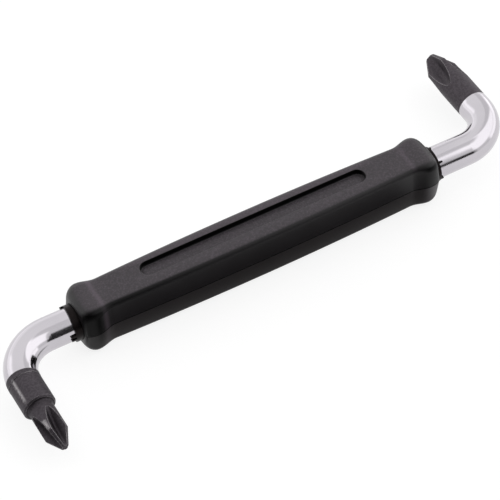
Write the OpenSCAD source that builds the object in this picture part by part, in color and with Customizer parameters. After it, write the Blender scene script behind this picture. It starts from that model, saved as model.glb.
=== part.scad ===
// Offset screwdriver: one bent bar, a cross tip on each arm and a moulded grip round the middle.
// It lies flat, with its grip on the ground and its arms level, in millimetres.
// The origin is the middle of the whole tool, on the ground. The grip runs along X,
// the small tip points to -Y at the -X end, and the large tip points to +Y at the +X end.

/* [Bar] */
// Diameter of the round bar
bar_d = 6; // [5.6:0.1:6.4]
// Radius of the bend by the small tip, at the centre line of the bar
small_bend_r = 7.8; // [6:0.1:9]
// Last part of that bend that belongs to the blackened tip, in degrees
small_arc = 7; // [3:0.5:12]
// Radius of the bend by the large tip
large_bend_r = 7.3; // [5:0.1:9]
// From the middle of the grip to the centre line of the arm with the small tip
small_reach = 48.9; // [47:0.1:70]
// From the middle of the grip to the centre line of the arm with the large tip
large_reach = 50.9; // [47:0.1:70]
// Straight bar between the bend and the large tip
large_straight = 1.5; // [0.1:0.1:20]
// Length of the two pressed flats that lock the bar in its sleeve
flat_len = 16; // [8:1:30]
// Depth of each pressed flat
flat_depth = 0.5; // [0.2:0.1:1]

/* [Tips] */
// How far the straight sides of the blackened tips lie under the surface of the bar
plating_step = 0.05; // [0.02:0.01:0.3]
// Length over which the bar thins out to that step at the large tip
plating_edge = 0.6; // [0.1:0.05:1]
// Radius of the spigot that holds a tip in the bar
spigot_r = 1.5; // [1:0.1:1.8]
// Length of the spigot
spigot_len = 3; // [2:0.1:3.4]
// Chamfer at the end of the spigot
spigot_chamfer = 0.2; // [0.1:0.05:0.5]
// Gap round and under the spigot
spigot_gap = 0.02; // [0.01:0.01:0.1]
// Full angle of the point of a cross tip
point_angle = 53; // [45:1:70]
// Angle between the two walls of a flute
flute_angle = 92; // [80:1:100]

/* [Small tip] */
// Length from the end of the bend to the point
small_len = 15.2; // [13:0.1:30]
// Length of the thick collar behind the blade, from the end of the bend
small_collar = 5.9; // [3:0.1:7]
// Chamfer at the end of the collar
small_chamfer = 0.3; // [0.1:0.05:0.5]
// Radius of the hollow between collar and blade
small_hollow = 0.35; // [0.1:0.05:0.4]
// Radius of the blade
small_blade_r = 2.22; // [1.9:0.01:2.5]
// Radius of the blunt end
small_nose_r = 0.65; // [0.4:0.05:0.8]
// Radius from the axis to the floor of a flute, at the point
small_core_r = 0.45; // [0.3:0.05:0.55]
// Length of a flute's straight floor
small_floor = 4.2; // [3:0.1:5]
// Slope of a flute's floor
small_slope = 9; // [6:0.5:11]
// Radius of the flute's run-out
small_runout_r = 14.5; // [10:0.1:15]
// Turn of the flutes round the axis
small_turn = -16; // [-45:1:45]

/* [Large tip] */
// Length from the end of the bar to the point
large_len = 14.4; // [13:0.1:30]
// Radius of the blunt end
large_nose_r = 1.1; // [0.8:0.05:1.3]
// Radius from the axis to the floor of a flute, at the point
large_core_r = 0.6; // [0.4:0.05:0.7]
// Length of a flute's straight floor
large_floor = 3.5; // [2:0.1:5]
// Slope of a flute's floor
large_slope = 6; // [3:0.5:9]
// Radius of the flute's run-out
large_runout_r = 3.6; // [3.2:0.1:6]
// Turn of the flutes round the axis
large_turn = -44; // [-45:1:45]

/* [Sleeve] */
// Wall of the hard inner sleeve
sleeve_wall = 0.33; // [0.25:0.01:0.5]
// Gap between bar, sleeve and grip
mould_gap = 0.02; // [0.01:0.01:0.1]
// How far the sleeve shows at the small tip's end of the grip, at its shortest
small_lip = 0.8; // [0.3:0.1:2]
// How much further it shows on the opposite side, where its rim slants out
small_slant = 0.6; // [0.1:0.1:1.2]
// Direction of that side, in degrees from +Y towards +Z
slant_turn = 140; // [0:1:359]
// How far the sleeve shows at the large tip's end of the grip
large_lip = 0.8; // [0.2:0.1:2]
// Length of the longest finger of the sleeve's rim
finger_len = 1.5; // [0.5:0.1:2.5]
// Width of a finger at its root
finger_w = 0.7; // [0.5:0.1:1.6]
// Length of the four splines that lock sleeve and grip
spline_len = 40; // [20:1:56]
// Width of a spline
spline_w = 1; // [0.6:0.1:1.4]
// Height of a spline above the sleeve
spline_h = 0.7; // [0.3:0.1:0.9]

/* [Grip] */
// Length of the grip
grip_len = 71.3; // [66:0.1:76]
// Half width at the parting line, in the middle
side_mid = 4.4; // [4.2:0.05:6]
// Half width at the parting line, near the ends
side_end = 3.9; // [3.85:0.05:5]
// Half width of the top face in the middle, to its sharp corner
top_mid = 4.05; // [3.9:0.05:5.5]
// Half width of the top face near the ends, to its sharp corner
top_end = 3.55; // [3.5:0.05:4.6]
// Half height in the middle
height_mid = 5; // [4.8:0.05:6.5]
// Half height near the ends
height_end = 4.9; // [4.5:0.05:6]
// Radius of the long edges
edge_r = 1.1; // [0.4:0.05:1.6]
// Depth of the groove along the parting line
parting_depth = 0.08; // [0.02:0.01:0.15]
// Half width of that groove
parting_half = 0.08; // [0.04:0.01:0.15]
// Length of the rounded end of a collar
dome_len = 2.3; // [1.5:0.1:4]
// Distance from the end of the grip to the end of the neck behind a collar
neck_len = 5.8; // [5:0.1:9]
// How far a collar stands out at the sides
collar_side = 0.8; // [0.2:0.05:1.5]
// How far a collar stands out above and below
collar_top = 0.35; // [0.15:0.05:1.5]
// Radius of a collar's long edges
collar_edge_r = 1.8; // [0.8:0.05:2.2]
// Width of the flat ring at the grip's end
end_ring = 0.25; // [0.1:0.05:0.5]
// Depth of the flats that the collars rest on
foot_depth = 0.08; // [0.04:0.01:0.14]

/* [Recess] */
// Length of the recess in the top face
recess_len = 45.1; // [20:0.1:54]
// Width of the recess
recess_w = 3.36; // [1.5:0.01:4]
// Depth of the recess
recess_depth = 1; // [0.2:0.05:1.1]
// Sideways shift of the recess from the middle of the top face
recess_shift = 0.45; // [0:0.05:0.6]

/* [Hidden] */
$fn = 96;
// Overrun of all cuts
over = 0.5;
// Fingers of the sleeve's rim: angle from +Y towards +Z, and share of the longest finger
small_finger_shares = [[40, 0.35], [174, 0.8], [190, 0.75]];
large_finger_shares = [[70, 0.2], [133, 0.45], [197, 0.35]];
// Width of a finger's tip, as a share of its root
finger_tip_share = 0.45;
// Steps of the grip's skin: along a dome, a neck, the body, and round one long edge
dome_steps = 8;
neck_steps = 8;
body_steps = 16;
edge_steps = 7;
// Steps of the turned outlines: round a blunt end, and round the hollow behind a blade
nose_steps = 4;
hollow_steps = 6;
// Rounding of a point's blunt end, and of a flute's root, as shares of their radii
nose_round_share = 0.5;
root_share = 0.4;

bar_r = bar_d / 2;
tip_r = bar_r - plating_step;
small_run = small_reach - small_bend_r;
large_run = large_reach - large_bend_r;
large_seat = large_bend_r + large_straight;
bore_r = bar_r + mould_gap;
sleeve_r = bore_r + sleeve_wall;
end_r = sleeve_r + mould_gap + end_ring;
half_len = grip_len / 2;
axis_z = height_end + collar_top - foot_depth;
small_tip_y = small_bend_r + small_len;
large_tip_y = large_seat + large_len;
// The middle of the whole tool, seen from the middle of the grip
mid_x = (large_reach - small_reach) / 2;
mid_y = (large_tip_y - small_tip_y) / 2;

// Puts a shape from the bar's own frame, along X at height zero, into the tool's frame
module place() {
    translate([-mid_x, -mid_y, axis_z]) children();
}

// Turns a shape that stands along Z so that it lies along X
module along_x() {
    rotate([0, 90, 0]) children();
}

// Moves a shape that stands along Z to an angle of a bend, so that it stands along the bar there.
// The angle is measured from the straight bar along X, towards +Y
module at_bend(run, bend_r, angle) {
    translate([run, bend_r, 0])
        rotate([0, 0, angle - 90])
            translate([bend_r, 0, 0]) rotate([-90, 0, 0]) children();
}

// Straight bar between two places along X, with its two flats, made larger all round by grow
module bar_core(from, to, grow) {
    difference() {
        translate([from, 0, 0]) along_x() cylinder(r = bar_r + grow, h = to - from);
        for (side = [-1, 1])
            translate([0, 0, side * (bar_d - flat_depth + grow)])
                cube([flat_len - 2 * grow, bar_d + over, bar_d], center = true);
    }
}

// One bend through the given angle, its straight arm and the blind seat for a tip
module arm(run, bend_r, angle, straight) {
    edge = min(plating_edge, straight);
    difference() {
        union() {
            translate([run, bend_r, 0])
                rotate([0, 0, -90])
                    rotate_extrude(angle = angle) translate([bend_r, 0]) circle(r = bar_r);
            at_bend(run, bend_r, angle) {
                if (straight > edge)
                    cylinder(r = bar_r, h = straight - edge);
                if (edge > 0)
                    translate([0, 0, straight - edge]) cylinder(r1 = bar_r, r2 = tip_r, h = edge);
            }
        }
        at_bend(run, bend_r, angle)
            translate([0, 0, straight - spigot_len - spigot_gap])
                cylinder(r = spigot_r + spigot_gap, h = spigot_len + spigot_gap + over);
    }
}

module shank() {
    color("gainsboro") place() {
        bar_core(-small_run, large_run, 0);
        arm(large_run, large_bend_r, 90, large_straight);
        rotate([0, 0, 180]) arm(small_run, small_bend_r, 90 - small_arc, 0);
    }
}

// Cross section of a flute: a V with a rounded root, its root at the origin and open to +Y
module flute_section(root_r, height) {
    half = flute_angle / 2;
    rise = root_r / sin(half) - root_r;
    edge = height * tan(half);
    difference() {
        polygon([[0, -rise], [edge, height - rise], [-edge, height - rise]]);
        translate([-edge, -rise - over]) square([2 * edge, rise + over + root_r * (1 - sin(half))]);
    }
    translate([0, root_r]) circle(r = root_r);
}

// One flute: a straight sloping floor and a run-out like that of a milling wheel
module flute(length, core_r, floor_len, slope, runout_r, blade_r) {
    root_r = core_r * root_share;
    reach = blade_r + over;
    height = min(reach, runout_r - over);
    translate([0, core_r, length])
        rotate([slope, 0, 0]) {
            translate([0, 0, -floor_len]) {
                linear_extrude(height = floor_len + reach) flute_section(root_r, height);
                translate([0, runout_r, 0])
                    rotate([0, 90, 0])
                        rotate_extrude()
                            translate([runout_r, 0]) rotate([0, 0, 90]) flute_section(root_r, height);
            }
        }
}

// Cross tip along +Z: a turned blank, given by its outline and joined to what stands behind it, with four flutes
module cross_tip(outline, length, core_r, floor_len, slope, runout_r, blade_r, turn) {
    difference() {
        union() {
            rotate_extrude() polygon(outline);
            children();
        }
        for (k = [0:3])
            rotate([0, 0, turn + 90 * k])
                flute(length, core_r, floor_len, slope, runout_r, blade_r);
    }
}

// Spigot that stands below the seat of a tip and holds it in the bar
module spigot() {
    rotate_extrude()
        polygon([
            [0, -spigot_len],
            [spigot_r - spigot_chamfer, -spigot_len],
            [spigot_r, spigot_chamfer - spigot_len],
            [spigot_r, over],
            [0, over]
        ]);
}

// Outline points of the cone that starts at radius r, and of its blunt end with a rounded edge
function nose_points(r, nose_r, length) = let(
    half = point_angle / 2,
    round_r = nose_r * nose_round_share,
    centre_r = nose_r + round_r * tan(half) - round_r / cos(half)
) concat(
    [[r, length - (r - nose_r) / tan(half)]],
    [for (k = [0:nose_steps]) let(a = half + (90 - half) * k / nose_steps)
        [centre_r + round_r * cos(a), length - round_r + round_r * sin(a)]],
    [[0, length]]
);

module small_tip() {
    hollow_r = min(small_hollow, tip_r - small_chamfer - small_blade_r);
    hollow_z = small_collar + hollow_r;
    outline = concat(
        [[0, 0], [tip_r, 0], [tip_r, small_collar - small_chamfer], [tip_r - small_chamfer, small_collar]],
        [for (k = [0:hollow_steps]) let(a = 270 - 90 * k / hollow_steps)
            [small_blade_r + hollow_r * (1 + cos(a)), hollow_z + hollow_r * sin(a)]],
        nose_points(small_blade_r, small_nose_r, small_len)
    );
    color("dimgray") place()
        rotate([0, 0, 180])
            at_bend(small_run, small_bend_r, 90)
                cross_tip(outline, small_len, small_core_r, small_floor, small_slope,
                    small_runout_r, small_blade_r, small_turn)
                        bend_end();
}

// The blackened end of the small bend, which stands behind the small tip, with its spigot
module bend_end() {
    translate([-small_bend_r, 0, 0])
        rotate([90, 0, 0])
            rotate([0, 0, -small_arc]) {
                rotate_extrude(angle = small_arc) translate([small_bend_r, 0]) circle(r = bar_r);
                translate([small_bend_r, 0, 0]) rotate([-90, 0, 0]) spigot();
            }
}

module large_tip() {
    outline = concat(
        [[0, 0], [tip_r, 0]],
        nose_points(tip_r, large_nose_r, large_len)
    );
    color("dimgray") place()
        at_bend(large_run, large_bend_r, 90)
            translate([0, 0, large_straight])
                cross_tip(outline, large_len, large_core_r, large_floor, large_slope,
                    large_runout_r, tip_r, large_turn)
                        spigot();
}

// Four splines along the sleeve, on its diagonals, made larger all round by grow
module splines(grow) {
    tall = sleeve_r + spline_h + grow;
    for (a = [45:90:315])
        rotate([a, 0, 0])
            translate([-spline_len / 2 - grow, -spline_w / 2 - grow, bar_r + sleeve_wall / 2])
                cube([spline_len + 2 * grow, spline_w + 2 * grow, tall - bar_r - sleeve_wall / 2]);
}

// The space beyond a rim of the sleeve, along +X from the given place, with the fingers left out of it
module beyond_rim(from, slant, shares) {
    root = finger_w / 2;
    back = slant / 2 + over;
    difference() {
        translate([from, 0, 0])
            rotate([slant_turn, 0, 0]) rotate([0, 0, -atan(slant / (2 * sleeve_r))])
                translate([bar_d, 0, 0]) cube(2 * bar_d, center = true);
        for (f = shares)
            rotate([f[0] - 90, 0, 0])
                translate([from, 0, 0])
                    linear_extrude(height = sleeve_r + over)
                        polygon([
                            [-back, -root],
                            [finger_len * f[1], -root * finger_tip_share],
                            [finger_len * f[1], root * finger_tip_share],
                            [-back, root]
                        ]);
    }
}

module core_sleeve() {
    small_end = half_len + small_lip + small_slant / 2;
    large_end = half_len + large_lip;
    spare = finger_len + over;
    color([0.06, 0.06, 0.06]) place() difference() {
        union() {
            translate([-small_end - spare, 0, 0])
                along_x() cylinder(r = sleeve_r, h = small_end + large_end + 2 * spare);
            splines(0);
        }
        bar_core(-small_end - spare - over, large_end + spare + over, mould_gap);
        beyond_rim(large_end, 0, large_finger_shares);
        mirror([1, 0, 0]) beyond_rim(small_end, small_slant, small_finger_shares);
    }
}

// One quarter of the grip's section, from its side at the parting line to its top face
function quarter(side, top, height, r) = let(
    draft = atan((side - top) / height),
    centre_y = side - (height - r) * tan(draft) - r / cos(draft)
) concat(
    [[side - parting_depth, 0], [side - parting_half * tan(draft), parting_half]],
    [for (k = [0:edge_steps]) let(a = draft + (90 - draft) * k / edge_steps)
        [centre_y + r * cos(a), height - r + r * sin(a)]]
);

// Whole section of the grip, from +Y towards +Z
function section(q) = let(n = len(q)) concat(
    q,
    [for (k = [n - 1:-1:0]) [-q[k][0], q[k][1]]],
    [for (k = [1:n - 1]) [-q[k][0], -q[k][1]]],
    [for (k = [n - 1:-1:1]) [q[k][0], -q[k][1]]]
);

// How much of a collar stands at a distance e from the end of the grip, from 0 to 1
function collar_share(e) =
    e >= neck_len ? 0 : e <= dome_len ? 1 : (1 + cos(180 * (e - dome_len) / (neck_len - dome_len))) / 2;

// How much the section has opened from the end ring at a distance e, from 0 to 1
function dome_share(e) = e >= dome_len ? 1 : sqrt(max(0, 1 - pow(1 - e / dome_len, 2)));

// Skin of the grip at one place along X
function grip_ring(x) = let(
    e = half_len - abs(x),
    u = min(1, pow(x / (half_len - neck_len), 2)),
    c = collar_share(e),
    m = dome_share(e),
    side = side_mid + (side_end - side_mid) * u + c * collar_side,
    top = top_mid + (top_end - top_mid) * u + c * collar_side,
    height = height_mid + (height_end - height_mid) * u + c * collar_top,
    r = edge_r + (collar_edge_r - edge_r) * c
) [for (p = section(quarter(side, top, height, r))) let(out = end_r / norm(p))
    [x, p[0] * (out + (1 - out) * m), p[1] * (out + (1 - out) * m)]];

// Places along the grip where its skin is worked out, from the -X end
function grip_places() = let(
    dome = [for (k = [0:dome_steps - 1]) -half_len + dome_len * (1 - cos(90 * k / dome_steps))],
    neck = [for (k = [0:neck_steps - 1]) -half_len + dome_len + (neck_len - dome_len) * k / neck_steps],
    body = [for (k = [0:body_steps]) (half_len - neck_len) * (2 * k / body_steps - 1)],
    start = concat(dome, neck)
) concat(start, body, [for (k = [len(start) - 1:-1:0]) -start[k]]);

// The grip's outer skin as one closed loft
module grip_skin() {
    rings = [for (x = grip_places()) grip_ring(x)];
    n = len(rings[0]);
    last = (len(rings) - 1) * n;
    polyhedron(
        points = [for (ring = rings) each ring],
        faces = concat(
            [[for (k = [0:n - 1]) k]],
            [for (i = [0:len(rings) - 2]) for (k = [0:n - 1]) let(a = i * n + k, b = i * n + (k + 1) % n)
                each [[a, a + n, b + n], [a, b + n, b]]],
            [[for (k = [n - 1:-1:0]) last + k]]
        ),
        convexity = 6
    );
}

module grip() {
    color([0.16, 0.16, 0.17]) place() difference() {
        grip_skin();
        along_x() cylinder(r = sleeve_r + mould_gap, h = grip_len + 2 * over, center = true);
        splines(mould_gap);
        translate([0, recess_shift, height_mid - recess_depth])
            linear_extrude(height = recess_depth + over)
                for (side = [-1, 1]) half_slot(side);
        translate([0, 0, -axis_z - over])
            cube([grip_len + 2 * over, 4 * side_mid, 2 * over], center = true);
    }
}

// Half of the recess's outline: a long slot with a round end
module half_slot(side) {
    straight = recess_len / 2 - recess_w / 2;
    translate([side * straight, 0]) circle(d = recess_w);
    translate([side * straight / 2, 0]) square([straight, recess_w], center = true);
}

shank();
small_tip();
large_tip();
core_sleeve();
grip();
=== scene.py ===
import math

import bmesh
import bpy
from mathutils import Matrix, Vector


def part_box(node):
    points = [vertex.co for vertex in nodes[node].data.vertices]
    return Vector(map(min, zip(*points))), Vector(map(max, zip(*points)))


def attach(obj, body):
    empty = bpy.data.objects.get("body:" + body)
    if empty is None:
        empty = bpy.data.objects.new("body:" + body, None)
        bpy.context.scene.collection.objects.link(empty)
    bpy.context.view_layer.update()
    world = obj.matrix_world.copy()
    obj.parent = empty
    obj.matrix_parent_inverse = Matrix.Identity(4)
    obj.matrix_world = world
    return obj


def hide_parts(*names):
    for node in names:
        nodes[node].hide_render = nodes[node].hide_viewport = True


mm = 0.001

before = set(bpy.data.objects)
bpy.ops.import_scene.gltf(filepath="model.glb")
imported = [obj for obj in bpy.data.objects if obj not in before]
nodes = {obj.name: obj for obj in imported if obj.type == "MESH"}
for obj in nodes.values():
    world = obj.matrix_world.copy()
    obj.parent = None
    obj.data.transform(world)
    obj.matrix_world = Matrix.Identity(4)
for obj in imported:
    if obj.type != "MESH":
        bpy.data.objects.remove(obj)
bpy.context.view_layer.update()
gripLow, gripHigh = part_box("grip")
barLow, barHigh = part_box("shank")
# The bar's centre line passes through the middle of the grip here
gripMiddle = Vector(((gripLow.x + gripHigh.x) / 2, (gripLow.y + gripHigh.y) / 2, (barLow.z + barHigh.z) / 2))
print("frame loaded", len(nodes), "nodes")


# Camera, at the photograph's viewing angle

camera = {
    "azimuth": -27.32,  # degrees round the tool, from the side of the small tip
    "elevation": 48.99,
    "roll": -2.59,
    "distance": 396.2 * mm,
    "lens": 162.0,
    "sensorWidth": 36,
    "clipStart": 0.01, "clipEnd": 20,
    "aimRight": -1.16 * mm, "aimUp": -1.50 * mm,  # the aim, measured from the middle of the grip
}


def makeCamera(values):
    azimuth = math.radians(values["azimuth"])
    elevation = math.radians(values["elevation"])
    roll = math.radians(values["roll"])
    reach = math.cos(elevation)
    back = Vector((math.sin(azimuth) * reach, -math.cos(azimuth) * reach, math.sin(elevation)))
    level = Vector((math.cos(azimuth), math.sin(azimuth), 0))
    rise = back.cross(level)
    right = level * math.cos(roll) + rise * math.sin(roll)
    up = rise * math.cos(roll) - level * math.sin(roll)
    place = gripMiddle + right * values["aimRight"] + up * values["aimUp"] + back * values["distance"]
    data = bpy.data.cameras.new("camera")
    data.lens = values["lens"]
    data.sensor_width = values["sensorWidth"]
    data.clip_start = values["clipStart"]
    data.clip_end = values["clipEnd"]
    made = bpy.data.objects.new("camera", data)
    bpy.context.scene.collection.objects.link(made)
    made.matrix_world = Matrix.Translation(place) @ Matrix((right, up, back)).transposed().to_4x4()
    bpy.context.scene.camera = made


makeCamera(camera)
print("camera placed")


# Shader helpers

shadeSamples = {"edge": 6, "hollow": 8}


class Wire:  # a shader value; arithmetic on it adds Math nodes
    def __init__(self, graph, socket):
        self.graph = graph
        self.socket = socket

    def math(self, operation, *others):
        values = {k: v for k, v in enumerate((self,) + others)}
        return self.graph.node("ShaderNodeMath", {"operation": operation}, values)["Value"]

    def __add__(self, other):
        return self.math("ADD", other)

    def __radd__(self, other):
        return self.math("ADD", other)

    def __sub__(self, other):
        return self.math("SUBTRACT", other)

    def __rsub__(self, other):
        return self.graph.node("ShaderNodeMath", {"operation": "SUBTRACT"}, {0: other, 1: self})["Value"]

    def __mul__(self, other):
        return self.math("MULTIPLY", other)

    def __rmul__(self, other):
        return self.math("MULTIPLY", other)

    def __neg__(self):
        return self.math("MULTIPLY", -1.0)

    def __abs__(self):
        return self.math("ABSOLUTE")

    def clip(self):
        return self.graph.node("ShaderNodeClamp", {}, {"Value": self})["Result"]

    def ramp(self, low, high):  # 0 at low, 1 at high, soft in between
        settings = {"interpolation_type": "SMOOTHSTEP"}
        values = {"Value": self, "From Min": low, "From Max": high}
        return self.graph.node("ShaderNodeMapRange", settings, values)["Result"]

    def within(self, low, high, soft):  # 1 between low and high, with soft borders
        return self.ramp(low - soft, low + soft) * self.ramp(high + soft, high - soft)


class Outputs:
    def __init__(self, graph, made):
        self.graph = graph
        self.made = made

    def __getitem__(self, name):
        if name == "Mixed":  # the colour output of a Mix node
            return Wire(self.graph, self.made.outputs[2])
        return Wire(self.graph, self.made.outputs[name])


class Graph:
    def __init__(self, tree):
        self.tree = tree
        tree.nodes.clear()

    def node(self, kind, settings=None, values=None):
        made = self.tree.nodes.new(kind)
        for name, setting in (settings or {}).items():
            setattr(made, name, setting)
        for name, value in (values or {}).items():
            socket = made.inputs[name]
            if isinstance(value, Wire):
                self.tree.links.new(value.socket, socket)
            else:
                socket.default_value = value
        return Outputs(self, made)

    def mixColour(self, share, one, other):  # sockets 6 and 7 are a Mix node's colours
        settings = {"data_type": "RGBA"}
        return self.node("ShaderNodeMix", settings, {"Factor": share, 6: one, 7: other})["Mixed"]

    def noise(self, where, scale, detail, roughness):
        values = {"Vector": where, "Scale": scale, "Detail": detail, "Roughness": roughness}
        return self.node("ShaderNodeTexNoise", {}, values)["Fac"]

    def parts(self, vector):
        return self.node("ShaderNodeSeparateXYZ", {}, {"Vector": vector})

    def bump(self, height, depth, strength, normal=None):
        values = {"Height": height, "Distance": depth, "Strength": strength}
        if normal is not None:
            values["Normal"] = normal
        return self.node("ShaderNodeBump", {}, values)["Normal"]

    def surface(self, colour, roughness, metal, normal):
        values = {"Base Color": colour, "Roughness": roughness, "Metallic": metal, "Normal": normal}
        shader = self.node("ShaderNodeBsdfPrincipled", {}, values)
        self.node("ShaderNodeOutputMaterial", {}, {"Surface": shader["BSDF"]})


def newMaterial(name):
    made = bpy.data.materials.new(name)
    made.use_nodes = True
    return made, Graph(made.node_tree)


def objectPlace(graph):
    return graph.node("ShaderNodeTexCoord")["Object"]


def fromGripMiddle(graph, where):  # along the grip, across it and above its centre line
    parts = graph.parts(where)
    return parts["X"] - gripMiddle.x, parts["Y"] - gripMiddle.y, parts["Z"] - gripMiddle.z


def stretched(graph, where, scale):
    return graph.node("ShaderNodeMapping", {}, {"Vector": where, "Scale": scale})["Vector"]


def openness(graph, reach):  # 1 on open faces, less in hollows that are about as deep as the reach
    settings = {"samples": shadeSamples["hollow"]}
    return graph.node("ShaderNodeAmbientOcclusion", settings, {"Distance": reach})["AO"]


def edgeWear(graph, width):
    # How strongly the surface turns within a small distance: 0 on plain faces, up to 1 on sharp edges
    rounded = graph.node("ShaderNodeBevel", {"samples": shadeSamples["edge"]}, {"Radius": width})["Normal"]
    own = graph.node("ShaderNodeNewGeometry")["Normal"]
    dot = graph.node("ShaderNodeVectorMath", {"operation": "DOT_PRODUCT"}, {0: rounded, 1: own})["Value"]
    return 1 - dot, rounded


# Materials: a noise is given as its scale, detail and roughness, and a range as the values where a mask
# is 0 and where it is 1

chromeLook = {
    "colour": (0.57, 0.545, 0.58, 1),
    "dimColour": (0.50, 0.48, 0.515, 1),
    "roughness": 0.07,
    "cloud": (90, 3, 0.5), "cloudRange": (0.35, 0.7), "cloudDim": 0.5, "cloudRough": 0.07,
    "hair": (5200, 3, 0.6), "hairStretch": (0.25, 1, 1), "hairRough": 0.05, "hairBump": 0.03,
    "scuff": (1500, 4, 0.7), "scuffRange": (0.62, 0.8), "scuffDim": 0.3, "scuffRough": 0.1,
    "wave": (260, 1, 0.5), "waveDepth": 0.012 * mm, "waveStrength": 0.5,
}


def makeChrome(look):
    made, g = newMaterial("polishedChrome")
    where = objectPlace(g)
    cloud = g.noise(where, *look["cloud"]).ramp(*look["cloudRange"])
    hair = g.noise(stretched(g, where, look["hairStretch"]), *look["hair"])
    scuff = g.noise(where, *look["scuff"]).ramp(*look["scuffRange"])
    dim = cloud * look["cloudDim"] + scuff * look["scuffDim"]
    colour = g.mixColour(dim, look["colour"], look["dimColour"])
    roughness = cloud * look["cloudRough"] + hair * look["hairRough"] + scuff * look["scuffRough"]
    height = g.noise(where, *look["wave"]) + hair * look["hairBump"]
    bump = g.bump(height, look["waveDepth"], look["waveStrength"])
    g.surface(colour, roughness + look["roughness"], 1.0, bump)
    return made


tipLook = {
    "colour": (0.040, 0.034, 0.040, 1),
    "greyColour": (0.092, 0.080, 0.092, 1),
    "bareColour": (0.42, 0.40, 0.41, 1),
    # The hollow colour, and the hollow keys further down, give painted shade in the flutes and the collar's
    # hollow
    "hollowColour": (0.004, 0.003, 0.0035, 1),
    "roughness": 0.36,
    "grain": (9000, 4, 0.65), "grainRough": 0.1, "grainDepth": 0.008 * mm, "grainStrength": 0.6,
    "patch": (700, 4, 0.6), "patchGrey": 0.4, "patchRough": 0.16,
    "mottle": (2600, 3, 0.7), "mottleRange": (0.35, 0.65), "mottleGrey": 0.6, "mottleRough": 0.1,
    "lines": (6500, 3, 0.7), "linesStretch": (1, 0.06, 1), "linesBump": 0.5,
    "scratchRange": (0.66, 0.8), "scratchPatch": (0.5, 0.7), "scratchShare": 0.35,
    "wearWidth": 0.2 * mm, "wearGain": 13, "wearLeast": 0.2, "wearRange": (0.3, 1.3),
    "wearGrain": (0.3, 0.6), "wearOpening": (0.3, 0.7), "wearPolish": 0.12,
    "hollowReach": 2.2 * mm, "hollowRange": (0.55, 1.0), "hollowMetal": 0.25, "metal": 0.75,
    # Two pale strips on the small tip, placed from the grip's middle: a painted highlight with a worn grain
    # along its collar, and a spot rubbed bright on one of its lands
    "collarRub": {"x": -51.0 * mm, "y": -10.2 * mm, "halfWidth": 0.36 * mm, "halfLength": 3.2 * mm},
    "landRub": {"x": -50.0 * mm, "y": -18.6 * mm, "halfWidth": 0.5 * mm, "halfLength": 1.2 * mm},
    "rubHeight": 0.5 * mm, "rubRagged": (0.5 * mm, 1.0 * mm), "rubFull": 0.6,
    "rubGrain": 0.6, "rubRange": (0.35, 0.7),
}
largeTipLook = dict(
    tipLook,
    colour=(0.044, 0.037, 0.043, 1),
    greyColour=(0.102, 0.088, 0.101, 1),
    hollowReach=1.1 * mm,
)


def makeBlackTip(name, look):
    made, g = newMaterial(name)
    where = objectPlace(g)
    along, across, height = fromGripMiddle(g, where)
    grain = g.noise(where, *look["grain"])
    patch = g.noise(where, *look["patch"])
    mottle = g.noise(where, *look["mottle"])
    lines = g.noise(stretched(g, where, look["linesStretch"]), *look["lines"])

    # Worn edges, and painted shade that darkens the hollows
    turn, rounded = edgeWear(g, look["wearWidth"])
    opening = openness(g, look["hollowReach"])
    hollow = 1 - opening.ramp(*look["hollowRange"])
    wear = (turn * look["wearGain"] * (patch + look["wearLeast"])).ramp(*look["wearRange"])
    wear = wear * grain.ramp(*look["wearGrain"]) * opening.ramp(*look["wearOpening"])

    def paleStrip(x, y, halfWidth, halfLength):
        raggedWidth, raggedLength = look["rubRagged"]
        wide = abs(along - x + (mottle - 0.5) * raggedWidth)
        long = abs(across - y + (patch - 0.5) * raggedLength)
        return wide.ramp(halfWidth, 0) * long.ramp(halfLength, halfLength * look["rubFull"])

    above = height.ramp(0, look["rubHeight"])
    rubGrain = (grain * look["rubGrain"] + mottle * look["rubGrain"]).ramp(*look["rubRange"])
    # The collar's strip is a painted highlight, the land's is wear
    rub = (paleStrip(**look["collarRub"]) + paleStrip(**look["landRub"])) * above * rubGrain
    scratch = lines.ramp(*look["scratchRange"]) * patch.ramp(*look["scratchPatch"])

    grey = patch * look["patchGrey"] + mottle.ramp(*look["mottleRange"]) * look["mottleGrey"]
    blackened = g.mixColour(grey, look["colour"], look["greyColour"])
    # Painted shade: the hollows turn near black
    shaded = g.mixColour(hollow, blackened, look["hollowColour"])
    bare = (wear + rub + scratch * look["scratchShare"] * (1 - hollow)).clip()
    colour = g.mixColour(bare, shaded, look["bareColour"])
    roughness = patch * look["patchRough"] + grain * look["grainRough"] + mottle * look["mottleRough"]
    roughness = roughness + look["roughness"] - wear * look["wearPolish"]
    # Painted shade: the hollows also lose their gloss
    metal = hollow * look["hollowMetal"] + look["metal"]  # no plain gloss is left in the hollows
    bumps = grain + lines * look["linesBump"] + mottle
    bump = g.bump(bumps, look["grainDepth"], look["grainStrength"], rounded)
    g.surface(colour, roughness, metal, bump)
    return made


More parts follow.
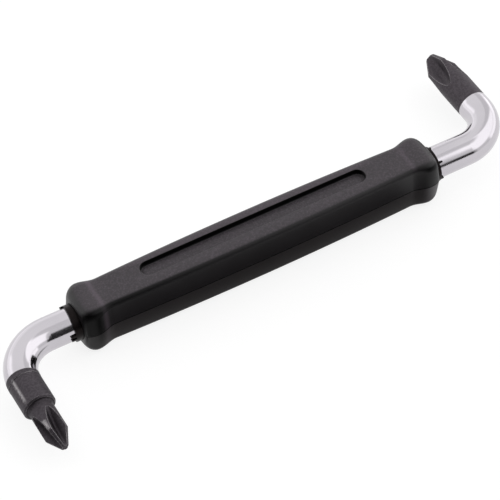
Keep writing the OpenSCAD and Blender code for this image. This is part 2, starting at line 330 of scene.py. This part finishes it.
mouldingLook = {
    "colour": (0.0054, 0.0040, 0.0052, 1),
    "paleColour": (0.018, 0.0138, 0.0172, 1),
    "lowerColour": (0.029, 0.0235, 0.0245, 1),
    # The hollow colour is the near black of painted shade and of the parting line
    "hollowColour": (0.0012, 0.0010, 0.0012, 1),
    "dustColour": (0.070, 0.052, 0.068, 1),
    "roughness": 0.34,
    "grain": (4200, 3, 0.6), "grainRough": 0.08, "grainDepth": 0.026 * mm, "grainStrength": 0.55,
    "cloud": (160, 3, 0.6), "cloudPale": 0.5, "cloudRough": 0.12, "cloudBump": 0.4,
    "rub": (1800, 4, 0.7), "rubStretch": (0.2, 1, 1), "rubRange": (0.62, 0.78),
    "rubPale": 0.4, "rubPolish": 0.06,
    "edgeWidth": 0.12 * mm, "edgeGain": 4, "edgeRange": (0.1, 0.9), "edgePale": 0.3, "edgePolish": 0.1,
    "partingSoft": 0.1 * mm, "lowerCloud": 0.5, "lowerPale": 0.6,
    # Dark: painted shade in the hollows, on the recess's far wall, on the rounded edge in front and on the
    # ends, and the parting line
    "darkMetal": 0.8,
    "hollowReach": 1.5 * mm, "hollowRange": (0.40, 0.80),
    "seamHalf": 0.18 * mm,
    "wallPlace": (1.0 * mm, 1.5 * mm), "wallFacing": (0.3, 0.7),
    "frontDark": 0.62, "frontFacing": (0.2, 0.55), "frontRising": (0.05, 0.3),
    "frontLeft": (10 * mm, 32 * mm), "frontLeftMore": 0.3,
    "frontRight": (-20 * mm, 20 * mm), "frontRightLess": 0.45,
    "leftEnd": (31.7 * mm, 33.3 * mm), "leftOilBelow": 0.2,
    "rightEnd": (31.0 * mm, 33.5 * mm), "rightOil": 0.75,
    "oilFacing": (-0.1, 0.5), "oilRising": (0.7, 0.5),
    # Pale: dust with painted light on top, painted highlights on the ridges where the necks begin and on a
    # strip beyond the recess, and the ends paler below
    "speck": (2600, 3, 0.7), "speckRange": (0.4, 0.75),
    "dustRising": (0.8, 1.0), "dustCloud": 0.2, "dustSpeck": 0.55, "dustPlain": 0.15,
    "leftRidge": -31.5 * mm, "rightRidge": 30.6 * mm, "ridgeHalf": 0.8 * mm, "ridgeRising": (0.3, 0.8),
    "leftRidgeGain": 1.4, "ridgeDust": 0.4, "neckFacing": (0.4, 0.8), "neckGain": 1.6,
    "rubbedPlace": (2.0 * mm, 2.3 * mm), "rubbedEnd": (27 * mm, 22 * mm), "rubbedRising": (0.9, 1.0),
    "rubbedDust": 0.3,
    "endDust": 0.3,
}


def makeMoulding(look):
    made, g = newMaterial("blackMoulding")
    where = objectPlace(g)
    along, across, height = fromGripMiddle(g, where)
    faces = g.parts(g.node("ShaderNodeNewGeometry")["Normal"])
    upward = faces["Z"]
    forward = -faces["Y"]
    lower = 1 - height.ramp(-look["partingSoft"], look["partingSoft"])  # 1 below the parting line

    # The plain plastic
    grain = g.noise(where, *look["grain"])
    cloud = g.noise(where, *look["cloud"])
    rub = g.noise(stretched(g, where, look["rubStretch"]), *look["rub"]).ramp(*look["rubRange"])
    turn, rounded = edgeWear(g, look["edgeWidth"])
    shine = (turn * look["edgeGain"]).ramp(*look["edgeRange"])

    # Dark places: painted shade, and the parting line
    # Painted shade in the recess and other hollows, found by ambient occlusion
    hollow = 1 - openness(g, look["hollowReach"]).ramp(*look["hollowRange"])
    seam = 1 - abs(height).ramp(0, look["seamHalf"])
    # Painted shade on the recess's far wall, which faces the front
    wall = forward.ramp(*look["wallFacing"]) * across.ramp(*look["wallPlace"])
    # Painted shade on the rounded front edge, stronger towards the left end and weaker towards the right
    lean = (-along).ramp(*look["frontLeft"]) * look["frontLeftMore"]
    lean = lean - along.ramp(*look["frontRight"]) * look["frontRightLess"] + 1
    front = forward.ramp(*look["frontFacing"]) * upward.ramp(*look["frontRising"]) * lean
    rightEnd = along.ramp(*look["rightEnd"])
    # Painted shade on the front of both ends, and only on the upper half at the right end
    rightEndShade = rightEnd * (1 - lower) * look["rightOil"]
    leftEndShade = (-along).ramp(*look["leftEnd"]) * (1 - lower * look["leftOilBelow"])
    endShade = (leftEndShade + rightEndShade) * forward.ramp(*look["oilFacing"]) * upward.ramp(*look["oilRising"])
    dark = (hollow + seam + endShade + wall + front * look["frontDark"]).clip()

    # Pale places: painted light and highlights, and dust
    speck = g.noise(where, *look["speck"]).ramp(*look["speckRange"])
    # Painted highlights on the ridges where the necks begin, reaching down the front at the left
    leftLine = abs(along - look["leftRidge"]).ramp(look["ridgeHalf"], 0)
    rightLine = abs(along - look["rightRidge"]).ramp(look["ridgeHalf"], 0)
    leftNeck = leftLine * forward.ramp(*look["neckFacing"])
    ridge = (leftLine * look["leftRidgeGain"] + rightLine) * upward.ramp(*look["ridgeRising"])
    ridge = ridge + leftNeck * look["neckGain"]
    # Painted highlight on a strip beyond the recess
    farStripHighlight = across.ramp(*look["rubbedPlace"]) * abs(along).ramp(*look["rubbedEnd"])
    farStripHighlight = farStripHighlight * upward.ramp(*look["rubbedRising"])
    # Painted light: faces turned up are paler, with dust specks in it
    dustAndTopLight = cloud * look["dustCloud"] + speck * look["dustSpeck"] + look["dustPlain"]
    dustAndTopLight = upward.ramp(*look["dustRising"]) * dustAndTopLight + ridge * look["ridgeDust"] + farStripHighlight * look["rubbedDust"]
    # Below the parting line: the painted neck highlight goes on, and the right end is paler
    below = (rightEnd * look["endDust"] + leftNeck * look["endDust"]) * lower

    pale = (cloud * look["cloudPale"] + rub * look["rubPale"] + shine * look["edgePale"]).clip()
    upper = g.mixColour(pale, look["colour"], look["paleColour"])
    upper = g.mixColour(dustAndTopLight.clip(), upper, look["dustColour"])
    # The lower half is paler: painted light from the floor, on a browner tone
    lowerPale = (cloud * look["lowerCloud"] + look["lowerPale"]).clip()
    skin = g.mixColour(lower * lowerPale, upper, look["lowerColour"])
    skin = g.mixColour(below, skin, look["dustColour"])
    colour = g.mixColour(dark, skin, look["hollowColour"])
    roughness = cloud * look["cloudRough"] + grain * look["grainRough"] + look["roughness"]
    roughness = roughness - shine * look["edgePolish"] - rub * look["rubPolish"]
    bump = g.bump(grain + cloud * look["cloudBump"], look["grainDepth"], look["grainStrength"], rounded)
    # Metallic on the dark places takes away their gloss, deepening the painted shade
    g.surface(colour, roughness, dark * look["darkMetal"], bump)
    return made


sleeveLook = {
    "colour": (0.0015, 0.0012, 0.0013, 1),
    "paleColour": (0.012, 0.007, 0.007, 1),
    "roughness": 0.30,
    "metal": 0.8,
    "flow": (1600, 3, 0.6), "flowStretch": (0.4, 1, 1), "flowRough": 0.16,
    "flowDepth": 0.02 * mm, "flowStrength": 0.5,
}


def makeHardSleeve(look):
    made, g = newMaterial("hardSleeve")
    flow = g.noise(stretched(g, objectPlace(g), look["flowStretch"]), *look["flow"])
    colour = g.mixColour(flow, look["colour"], look["paleColour"])
    roughness = flow * look["flowRough"] + look["roughness"]
    g.surface(colour, roughness, look["metal"], g.bump(flow, look["flowDepth"], look["flowStrength"]))
    return made


chrome = makeChrome(chromeLook)
blackSmallTip = makeBlackTip("blackOxideSmall", tipLook)
blackLargeTip = makeBlackTip("blackOxideLarge", largeTipLook)
moulding = makeMoulding(mouldingLook)
hardSleeve = makeHardSleeve(sleeveLook)
print("materials made")


def finishNode(name, material):
    for place in nodes[name].material_slots:
        place.material = material


def pieceFromMesh(bm, name, material, sharpAngle):
    # The bmesh is in millimetres from the middle of the grip
    bmesh.ops.scale(bm, vec=(mm, mm, mm), verts=bm.verts)
    bmesh.ops.translate(bm, vec=gripMiddle, verts=bm.verts)
    bmesh.ops.recalc_face_normals(bm, faces=bm.faces)
    data = bpy.data.meshes.new(name)
    bm.to_mesh(data)
    bm.free()
    data.polygons.foreach_set("use_smooth", [True] * len(data.polygons))
    data.set_sharp_from_angle(angle=math.radians(sharpAngle))
    data.materials.append(material)
    made = bpy.data.objects.new(name, data)
    bpy.context.scene.collection.objects.link(made)
    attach(made, "root")
    return made


finishNode("shank", chrome)
finishNode("core_sleeve", hardSleeve)
print("bar and sleeve finished")


# Grip: a loft of drafted sections with rounded collars, a parting groove and a recess in its top face
# In millimetres and degrees; side, top and height are half sizes

grip = {
    "length": 71.3, "domeLength": 2.3, "neckLength": 5.8,
    "sideMiddle": 4.4, "sideEnd": 3.9, "topMiddle": 4.05, "topEnd": 3.55,
    "heightMiddle": 5.0, "heightEnd": 4.9, "edgeRadius": 1.1,
    "collarSide": 0.8, "collarTop": 0.35, "collarEdgeRadius": 1.8,
    "endRadius": 3.62, "boreRadius": 3.37,
    "partingHalf": 0.08, "partingDepth": 0.08, "sharpAngle": 32,
    "domeSteps": 12, "neckSteps": 14, "bodySteps": 48, "edgeSteps": 10, "topSteps": 16, "baseSteps": 4,
}
recess = {
    "length": 45.1, "width": 3.36, "floorHeight": 4.0, "shift": 0.45,
    "patchHalf": 25.0, "flatError": 1e-4,  # the top face is remade round the mouth, this far from the middle
    "lipRadius": 0.14, "cornerRadius": 0.3, "draft": 4.0, "floorInset": 0.15, "roundSteps": 4,
}


def gripShape(x):
    # Half width at the parting line and at the top, half height, edge radius and opening of the dome at x
    fromEnd = grip["length"] / 2 - abs(x)
    toNeck = min(1, (x / (grip["length"] / 2 - grip["neckLength"])) ** 2)
    if fromEnd >= grip["neckLength"]:
        collar = 0
    elif fromEnd <= grip["domeLength"]:
        collar = 1
    else:
        neckRun = grip["neckLength"] - grip["domeLength"]
        collar = (1 + math.cos(math.pi * (fromEnd - grip["domeLength"]) / neckRun)) / 2

    def crowned(name, bulge):
        middle = grip[name + "Middle"]
        return middle + (grip[name + "End"] - middle) * toNeck + collar * grip[bulge]

    opened = 1
    if fromEnd < grip["domeLength"]:
        opened = math.sqrt(max(0, 1 - (1 - fromEnd / grip["domeLength"]) ** 2))
    return {
        "side": crowned("side", "collarSide"),
        "top": crowned("top", "collarSide"),
        "height": crowned("height", "collarTop"),
        "radius": grip["edgeRadius"] + (grip["collarEdgeRadius"] - grip["edgeRadius"]) * collar,
        "opened": opened,
    }


def gripQuarter(shape):  # points from the parting line up to the top face, on the +Y side
    side, height, radius = shape["side"], shape["height"], shape["radius"]
    draft = math.atan((side - shape["top"]) / height)
    middle = side - (height - radius) * math.tan(draft) - radius / math.cos(draft)
    mouth = grip["partingHalf"]
    points = [(side - grip["partingDepth"], 0), (side - mouth * math.tan(draft), mouth)]
    for k in range(grip["edgeSteps"] + 1):
        a = draft + (math.pi / 2 - draft) * k / grip["edgeSteps"]
        points.append((middle + radius * math.cos(a), height - radius + radius * math.sin(a)))
    return points


def gripSection(x):
    shape = gripShape(x)
    quarter = gripQuarter(shape)
    edge, height = quarter[-1]
    across = [(edge - 2 * edge * k / grip["topSteps"], height) for k in range(1, grip["topSteps"])]
    under = [(2 * edge * k / grip["baseSteps"] - edge, -height) for k in range(1, grip["baseSteps"])]
    upper = quarter + across + [(-y, z) for y, z in reversed(quarter)]
    lower = [(-y, -z) for y, z in quarter[1:]] + under + [(y, -z) for y, z in reversed(quarter[1:])]
    lowest = gripLow.z / mm - gripMiddle.z / mm  # the flats that the grip lies on
    ring = []
    for y, z in upper + lower:
        out = grip["endRadius"] / math.hypot(y, z)
        share = out + (1 - out) * shape["opened"]
        ring.append((y * share, max(z * share, lowest)))
    return ring


def gripPlaces():  # where the sections stand along the grip
    domeSteps, neckSteps, bodySteps = grip["domeSteps"], grip["neckSteps"], grip["bodySteps"]
    half = grip["length"] / 2
    neckRun = grip["neckLength"] - grip["domeLength"]
    bodyHalf = half - grip["neckLength"]
    dome = [grip["domeLength"] * (1 - math.cos(math.pi / 2 * k / domeSteps)) for k in range(domeSteps)]
    neck = [grip["domeLength"] + neckRun * k / neckSteps for k in range(neckSteps)]
    body = [bodyHalf * (2 * k / bodySteps - 1) for k in range(bodySteps + 1)]
    start = [e - half for e in dome + neck]
    return start + body + [-x for x in reversed(start)]


def extrudeLoop(bm, edges):  # gives the new vertices and the new open edges
    made = bmesh.ops.extrude_edge_only(bm, edges=edges)["geom"]
    newVerts = {v for v in made if isinstance(v, bmesh.types.BMVert)}
    newEdges = [e for e in made if isinstance(e, bmesh.types.BMEdge)]
    rim = [e for e in newEdges if len(e.link_faces) == 1 and newVerts.issuperset(e.verts)]
    return newVerts, rim


def loftRings(bm, rings):
    # Extrudes the first ring of points through the others, and gives the edges of both ends
    verts = [bm.verts.new(place) for place in rings[0]]
    count = len(verts)
    firstEdges = [bm.edges.new((verts[k], verts[(k + 1) % count])) for k in range(count)]
    edges = firstEdges
    order = {v: k for k, v in enumerate(verts)}
    for ring in rings[1:]:
        below = order
        newVerts, edges = extrudeLoop(bm, edges)
        order = {}
        for v, k in below.items():
            for e in v.link_edges:
                other = e.other_vert(v)
                if other in newVerts:
                    order[other] = k
                    other.co = ring[k]
    return [firstEdges, edges]


def openTop(bm):  # takes away the middle of the top face, and gives the edges of the hole
    gone = []
    for f in bm.faces:
        middle = f.calc_center_median()
        off = max(abs(v.co.z - gripShape(v.co.x)["height"]) for v in f.verts)
        if off < recess["flatError"] and abs(middle.x) < recess["patchHalf"] and middle.z > 0:
            gone.append(f)
    bmesh.ops.delete(bm, geom=gone, context="FACES")
    return [e for e in bm.edges if len(e.link_faces) == 1]


def recessMouth(bm, sideSteps):  # a round-ended loop of edges
    radius = recess["width"] / 2
    straight = recess["length"] / 2 - radius
    shift = recess["shift"]
    start = bm.verts.new((straight, shift - radius, 0))
    end = start
    for side in (1, -1):
        turned = bmesh.ops.spin(bm, geom=[end], cent=(side * straight, shift, 0), axis=(0, 0, 1),
                                angle=math.pi, steps=grip["topSteps"])
        end = turned["geom_last"][0]
        if side == 1:
            end = bmesh.ops.extrude_vert_indiv(bm, verts=[end])["verts"][0]
            end.co = (-straight, shift + radius, 0)
    bm.edges.new((end, start))
    longOnes = [e for e in bm.edges if not e.link_faces and e.calc_length() > radius]
    bmesh.ops.subdivide_edges(bm, edges=longOnes, cuts=sideSteps - 1)
    return [e for e in bm.edges if not e.link_faces]


def setRecessRing(verts, inset, height, fromFace):
    # Moves a loop inwards from the mouth, to a height above the centre line or from the crowned top face
    radius = recess["width"] / 2
    straight = recess["length"] / 2 - radius
    for v in verts:
        spine = max(-straight, min(straight, v.co.x))
        out = Vector((v.co.x - spine, v.co.y - recess["shift"], 0)).normalized()
        x = spine + out.x * (radius - inset)
        base = gripShape(x)["height"] if fromFace else 0
        v.co = (x, recess["shift"] + out.y * (radius - inset), base + height)


def cutRecess(bm):
    outer = openTop(bm)
    edges = recessMouth(bm, (len(outer) - 2 * grip["topSteps"]) // 2)
    setRecessRing({v for e in edges for v in e.verts}, 0, 0, True)
    bmesh.ops.bridge_loops(bm, edges=outer + edges)
    lip = recess["lipRadius"]
    corner = recess["cornerRadius"]
    wallTop = grip["heightEnd"] - lip
    wallFoot = recess["floorHeight"] + corner
    footInset = lip + (wallTop - wallFoot) * math.tan(math.radians(recess["draft"]))
    floorInset = footInset + corner + recess["floorInset"]
    angles = [math.pi / 2 * k / recess["roundSteps"] for k in range(1, recess["roundSteps"] + 1)]
    rings = [(lip * math.sin(a), -lip * (1 - math.cos(a)), True) for a in angles]
    rings.append((footInset, wallFoot, False))
    for a in angles:
        rings.append((footInset + corner * (1 - math.cos(a)), wallFoot - corner * math.sin(a), False))
    rings.append((floorInset, recess["floorHeight"], False))
    for inset, height, fromFace in rings:
        newVerts, edges = extrudeLoop(bm, edges)
        setRecessRing(newVerts, inset, height, fromFace)
    bmesh.ops.contextual_create(bm, geom=edges)


def makeGrip():
    bm = bmesh.new()
    ends = loftRings(bm, [[(x, y, z) for y, z in gripSection(x)] for x in gripPlaces()])
    for k in (0, 1):  # the flat ring at each end, down to the bore
        newVerts, rim = extrudeLoop(bm, ends[k])
        for v in newVerts:
            share = grip["boreRadius"] / math.hypot(v.co.y, v.co.z)
            v.co = (v.co.x, v.co.y * share, v.co.z * share)
        ends[k] = rim
    bmesh.ops.bridge_loops(bm, edges=ends[0] + ends[1])
    cutRecess(bm)
    made = pieceFromMesh(bm, "gripBody", moulding, grip["sharpAngle"])
    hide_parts("grip")


makeGrip()
print("grip made")


# Cross tips: turned blanks with four scooped flutes, which run out far up the blade as the photograph shows
# In millimetres and degrees; way is the arm's direction in Y, and turn the place of its first flute

smallTip = {
    "x": -48.9, "seat": 7.8, "way": -1, "length": 15.2,
    "radius": 2.95, "bladeRadius": 2.22, "noseRadius": 0.65,
    "collar": 5.9, "chamfer": 0.3, "hollow": 0.35,
    "bendRadius": 7.8, "bendArc": 7,
    "core": 0.5, "rootRadius": 0.45, "floorLength": 3.4, "slope": 4, "runoutRadius": 9.2, "turn": 18,
}
largeTip = {
    "x": 50.9, "seat": 8.8, "way": 1, "length": 14.4,
    "radius": 2.95, "bladeRadius": 2.95, "noseRadius": 1.1,
    "collar": 0,
    "bendRadius": 7.3, "bendArc": 0,
    "core": 0.85, "rootRadius": 1.0, "floorLength": 3.9, "slope": 3.5, "runoutRadius": 11.15, "turn": -43,
}
tipShape = {
    "pointAngle": 53, "fluteAngle": 92, "noseRound": 0.5, "barRadius": 3.0,
    "spigotRadius": 1.5, "spigotLength": 3.0, "spigotChamfer": 0.2, "sharpAngle": 28,
    "ringStep": 0.12, "bendSteps": 3, "wallSteps": 9, "landSteps": 8, "roundSteps": 6,
    "leastHalf": 2.5, "mostHalf": 44,  # half the angle that a flute takes up, at least and at most
    "halvings": 30, "behindSeat": -1, "noWall": 1e3,
}


def tipOutline(tip):  # (distance from the seat, radius) from the collar to the nose
    half = math.radians(tipShape["pointAngle"] / 2)
    steps = tipShape["roundSteps"]
    nose, blade = tip["noseRadius"], tip["bladeRadius"]
    points = [(0, tip["radius"])]
    if tip["collar"]:
        foot, chamfer, hollow = tip["collar"], tip["chamfer"], tip["hollow"]
        points += [(foot - chamfer, tip["radius"]), (foot, tip["radius"] - chamfer)]
        for k in range(steps + 1):
            a = math.radians(270 - 90 * k / steps)
            points.append((foot + hollow * (1 + math.sin(a)), blade + hollow * (1 + math.cos(a))))
    points.append((tip["length"] - (blade - nose) / math.tan(half), blade))
    bluntRadius = nose * tipShape["noseRound"]
    middle = nose + bluntRadius * math.tan(half) - bluntRadius / math.cos(half)
    for k in range(steps + 1):
        a = half + (math.pi / 2 - half) * k / steps
        points.append((tip["length"] - bluntRadius * (1 - math.sin(a)), middle + bluntRadius * math.cos(a)))
    return points


def tipStations(tip):  # the outline, with steps between its points that are short enough for the flutes
    outline = tipOutline(tip)
    stations = outline[:1]
    for (start, startRadius), (end, endRadius) in zip(outline, outline[1:]):
        count = max(1, math.ceil((end - start) / tipShape["ringStep"]))
        for k in range(1, count + 1):
            place = start + (end - start) * k / count
            stations.append((place, startRadius + (endRadius - startRadius) * k / count))
    return stations


def fluteFloor(tip, place):  # how far the flute's floor stands from the axis
    slope = math.radians(tip["slope"])
    fromNose = tip["length"] - place
    floor = tip["core"] + min(fromNose, tip["floorLength"]) * math.tan(slope)
    if fromNose > tip["floorLength"]:
        rise = math.sin(slope) + (fromNose - tip["floorLength"]) / tip["runoutRadius"]
        floor += tip["runoutRadius"] * (math.cos(slope) - math.sqrt(max(0, 1 - min(1, rise) ** 2)))
    return floor


def fluteWall(tip, floor, turn):
    # How far the flute's surface stands from the axis, at an angle from the flute's middle
    half = math.radians(tipShape["fluteAngle"] / 2)
    root = tip["rootRadius"]
    centre = floor + root
    tangent = math.atan2(root * math.cos(half), centre - root * math.sin(half))
    if turn <= tangent:
        return centre * math.cos(turn) - math.sqrt(max(0, root ** 2 - (centre * math.sin(turn)) ** 2))
    apex = centre - root / math.sin(half)
    if turn >= half or apex <= 0:
        return tipShape["noWall"]
    return apex * math.sin(half) / math.sin(half - turn)


def fluteHalf(tip, floor, radius):  # half the angle that the flute opens at this radius
    if floor >= radius:
        return 0
    low, high = 0, math.radians(tipShape["mostHalf"])
    for _ in range(tipShape["halvings"]):
        middle = (low + high) / 2
        if fluteWall(tip, floor, middle) < radius:
            low = middle
        else:
            high = middle
    return low


def tipRing(tip, place, radius):  # points round the tip as (angle, distance from the axis)
    floor = fluteFloor(tip, place)
    opened = fluteHalf(tip, floor, radius)
    half = max(opened, math.radians(tipShape["leastHalf"]))
    land = math.pi / 2 - 2 * half
    ring = []
    for quarter in range(4):
        middle = math.radians(tip["turn"] + 90 * quarter)
        for k in range(-tipShape["wallSteps"], tipShape["wallSteps"] + 1):
            turn = half * k / tipShape["wallSteps"]
            distance = min(radius, fluteWall(tip, floor, abs(turn))) if opened else radius
            ring.append((middle + turn, distance))
        for k in range(1, tipShape["landSteps"]):
            ring.append((middle + half + land * k / tipShape["landSteps"], radius))
    return ring


def tipRings(tip):  # from the end of the spigot to the nose
    way = tip["way"]
    bend = math.radians(90 - tip["bendArc"])  # the black part begins at this angle of the bend
    centre = Vector((tip["x"] - way * tip["bendRadius"], way * tip["seat"]))

    def bentRing(angle, back, radius):  # a plain ring on the bend, or on the straight line behind it
        along = Vector((way * math.cos(angle), way * math.sin(angle)))
        outward = Vector((way * math.sin(angle), -way * math.cos(angle)))
        place = centre + outward * tip["bendRadius"] - along * back
        made = []
        for turn, distance in tipRing(tip, tipShape["behindSeat"], radius):
            across = outward * (way * distance * math.sin(turn))
            made.append((place.x + across.x, place.y + across.y, distance * math.cos(turn)))
        return made

    spigot, back, chamfer = tipShape["spigotRadius"], tipShape["spigotLength"], tipShape["spigotChamfer"]
    rings = [bentRing(bend, back, spigot - chamfer), bentRing(bend, back - chamfer, spigot)]
    rings.append(bentRing(bend, 0, spigot))
    if tip["bendArc"]:
        for k in range(tipShape["bendSteps"] + 1):
            angle = bend + (math.pi / 2 - bend) * k / tipShape["bendSteps"]
            rings.append(bentRing(angle, 0, tipShape["barRadius"]))
    for place, radius in tipStations(tip):
        y = way * (tip["seat"] + place)
        ring = tipRing(tip, place, radius)
        rings.append([(tip["x"] + r * math.sin(a), y, r * math.cos(a)) for a, r in ring])
    return rings


def makeTip(tip, name, node, material):
    bm = bmesh.new()
    for edges in loftRings(bm, tipRings(tip)):
        bmesh.ops.contextual_create(bm, geom=edges)
    made = pieceFromMesh(bm, name, material, tipShape["sharpAngle"])
    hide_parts(node)


makeTip(smallTip, "smallCrossTip", "small_tip", blackSmallTip)
makeTip(largeTip, "largeCrossTip", "large_tip", blackLargeTip)
print("tips made")


# Studio: a pale floor, a soft sky with bright panels at the right and behind, two dark cards in front and
# at the left, and one big lamp behind and above
# Places in the sky are given in degrees, turned from the front towards +X, and above level

studio = {
    "floorColour": (0.22, 0.22, 0.22, 1), "floorSize": 3.0, "floorGlow": 0.835,
    "flagX": (-33 * mm, 33 * mm), "flagY": (-26 * mm, -4 * mm),
    "flagLight": 0.035, "flagReach": 16 * mm, "flagSoft": 3 * mm,
    "skyLight": 0.88, "skySoft": 4,
    "backLight": 0.50, "backTop": 30, "backDepth": (0.2, 0.8),
    "leftBackTurn": (-162, -115), "leftBackTop": (23, 36),
    "panelLight": 0.74, "panelTurn": (31, 115), "panelRise": (18, 59),
    "lowPanelTurn": (66, 125), "lowPanelRise": (-4, 18),
    "cardLight": 0.03, "cardTurn": (-25, 30), "cardTop": (42, 16), "cardSlope": (18, 24),
    "sideTurn": (-100, -20), "sideTop": 64,
    "lampSize": 1.2, "lampPower": 0.9, "lampPlace": (-0.12, 0.42, 0.62),
    "white": (1, 1, 1, 1),
}


def makeFloor():
    bm = bmesh.new()
    bmesh.ops.create_grid(bm, x_segments=2, y_segments=2, size=studio["floorSize"])
    data = bpy.data.meshes.new("floor")
    bm.to_mesh(data)
    bm.free()
    made, g = newMaterial("paleFloor")
    path = g.node("ShaderNodeLightPath")
    seen = (path["Is Camera Ray"] + path["Is Glossy Ray"] + path["Is Transmission Ray"]).clip()
    plain = g.node("ShaderNodeBsdfDiffuse", {}, {"Color": studio["floorColour"]})
    glowValues = {"Color": studio["white"], "Strength": seen * studio["floorGlow"]}
    glow = g.node("ShaderNodeEmission", {}, glowValues)
    both = g.node("ShaderNodeAddShader", {}, {0: plain["BSDF"], 1: glow["Emission"]})
    # A dark flag on the floor in front of the grip, seen by reflections only, keeps the grip's near side dark
    parts = g.parts(objectPlace(g))
    soft = studio["flagSoft"]
    close = path["Ray Length"].ramp(studio["flagReach"] + 2 * soft, studio["flagReach"])
    share = parts["X"].within(*studio["flagX"], soft) * parts["Y"].within(*studio["flagY"], soft)
    share = path["Is Glossy Ray"] * share * close
    flag = g.node("ShaderNodeEmission", {}, {"Color": studio["white"], "Strength": studio["flagLight"]})
    whole = g.node("ShaderNodeMixShader", {}, {0: share, 1: both["Shader"], 2: flag["Emission"]})
    g.node("ShaderNodeOutputMaterial", {}, {"Surface": whole["Shader"]})
    data.materials.append(made)
    floor = bpy.data.objects.new("floor", data)
    bpy.context.scene.collection.objects.link(floor)


def makeSky():
    world = bpy.data.worlds.new("studio")
    bpy.context.scene.world = world
    world.use_nodes = True
    g = Graph(world.node_tree)
    parts = g.parts(g.node("ShaderNodeTexCoord")["Generated"])
    turn = parts["X"].math("ARCTAN2", -parts["Y"]) * math.degrees(1)
    rise = parts["Z"].math("ARCSINE") * math.degrees(1)
    soft = studio["skySoft"]

    def patch(name):  # a soft rectangle of sky
        return turn.within(*studio[name + "Turn"], soft) * rise.within(*studio[name + "Rise"], soft)

    def under(name, top):  # all that lies below its top
        return turn.within(*studio[name + "Turn"], soft) * (rise - top).ramp(soft, -soft)

    back = (1 - rise.ramp(0, studio["backTop"])) * parts["Y"].ramp(*studio["backDepth"])
    leftBack = turn.within(*studio["leftBackTurn"], soft) * (1 - rise.ramp(*studio["leftBackTop"]))
    behind = back.math("MAXIMUM", leftBack) * studio["backLight"]
    panels = patch("panel").math("MAXIMUM", patch("lowPanel")) * studio["panelLight"]
    sky = behind + panels + studio["skyLight"]
    leftTop, rightTop = studio["cardTop"]
    cardTop = turn.ramp(*studio["cardSlope"]) * (rightTop - leftTop) + leftTop
    card = under("card", cardTop).math("MAXIMUM", under("side", studio["sideTop"]))
    lit = sky * (1 - card) + card * studio["cardLight"]
    # The camera sees plain white
    strength = g.node("ShaderNodeLightPath")["Is Camera Ray"] * (1 - lit) + lit
    background = g.node("ShaderNodeBackground", {}, {"Color": studio["white"], "Strength": strength})
    g.node("ShaderNodeOutputWorld", {}, {"Surface": background["Background"]})


def makeLamp():
    data = bpy.data.lights.new("softBox", "AREA")
    data.size = studio["lampSize"]
    data.energy = studio["lampPower"]
    made = bpy.data.objects.new("softBox", data)
    bpy.context.scene.collection.objects.link(made)
    place = Vector(studio["lampPlace"])
    aim = (place - gripMiddle).to_track_quat("Z", "Y").to_matrix().to_4x4()
    made.matrix_world = Matrix.Translation(place) @ aim


makeFloor()
makeSky()
makeLamp()
bpy.context.scene.view_settings.view_transform = "Standard"
print("studio made")
